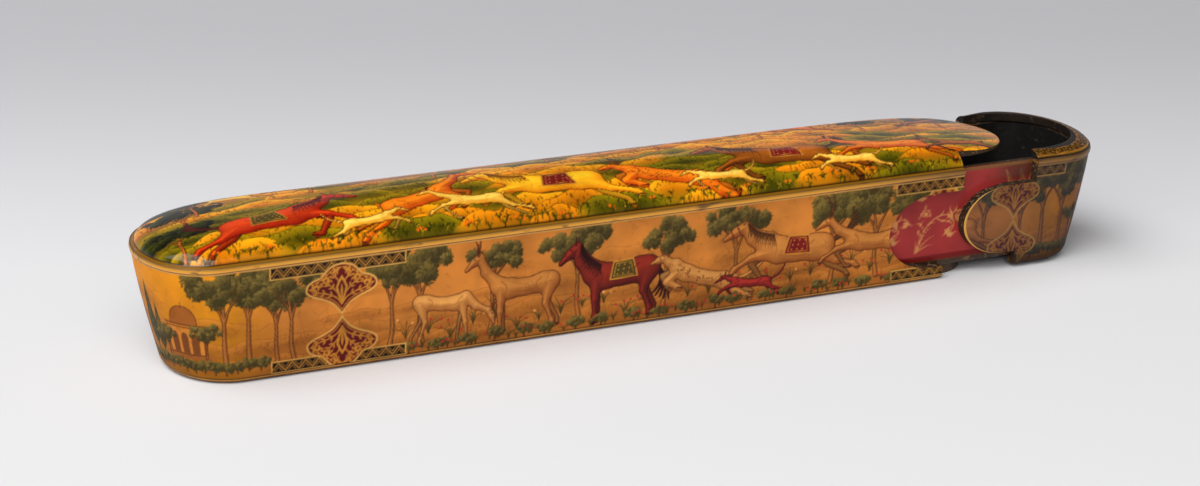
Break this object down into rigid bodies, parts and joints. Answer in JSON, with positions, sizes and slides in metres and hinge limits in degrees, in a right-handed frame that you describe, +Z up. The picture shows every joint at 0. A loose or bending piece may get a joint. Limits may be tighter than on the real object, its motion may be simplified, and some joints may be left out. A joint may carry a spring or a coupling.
{
  "type": "pen box",
  "caption": "Long narrow pen box with round ends and a domed top; a trough-shaped drawer slides out of one end and carries that end of the box as its cap.",
  "frame": {"origin": "on the table, at the middle of the closed box's base", "axes": "+X along the box towards the mouth that the drawer comes out of, +Y across it, +Z up"},
  "size_m": [0.2532, 0.0416, 0.0374],
  "materials": {
    "base_board": "dark lacquer over pasted paper",
    "painted_wall": "painted and lacquered pasted paper",
    "gilded_bead": "worn gilding under lacquer",
    "painted_top": "painted and glossily lacquered pasted paper",
    "drawer_board": "dark lacquer over pasted paper",
    "crimson_wall": "crimson lacquer with gold sprays",
    "black_lining": "matt black paint",
    "black_band": "black lacquer with gold scrolls"
  },
  "bodies": {
    "case": {"case_base": "base_board", "case_wall": "painted_wall", "case_rim": "gilded_bead", "case_top": "painted_top"},
    "drawer": {"drawer_floor": "drawer_board", "drawer_wall": "crimson_wall", "drawer_lining": "black_lining", "cap_base": "base_board", "cap_wall": "painted_wall", "cap_rim": "gilded_bead", "cap_band": "black_band"}
  },
  "joints": [
    {"name": "drawer_slide", "type": "slide", "parent": "case", "child": "drawer", "axis": [1, 0, 0], "range_m": [-0.0212, 0.205]}
  ]
}
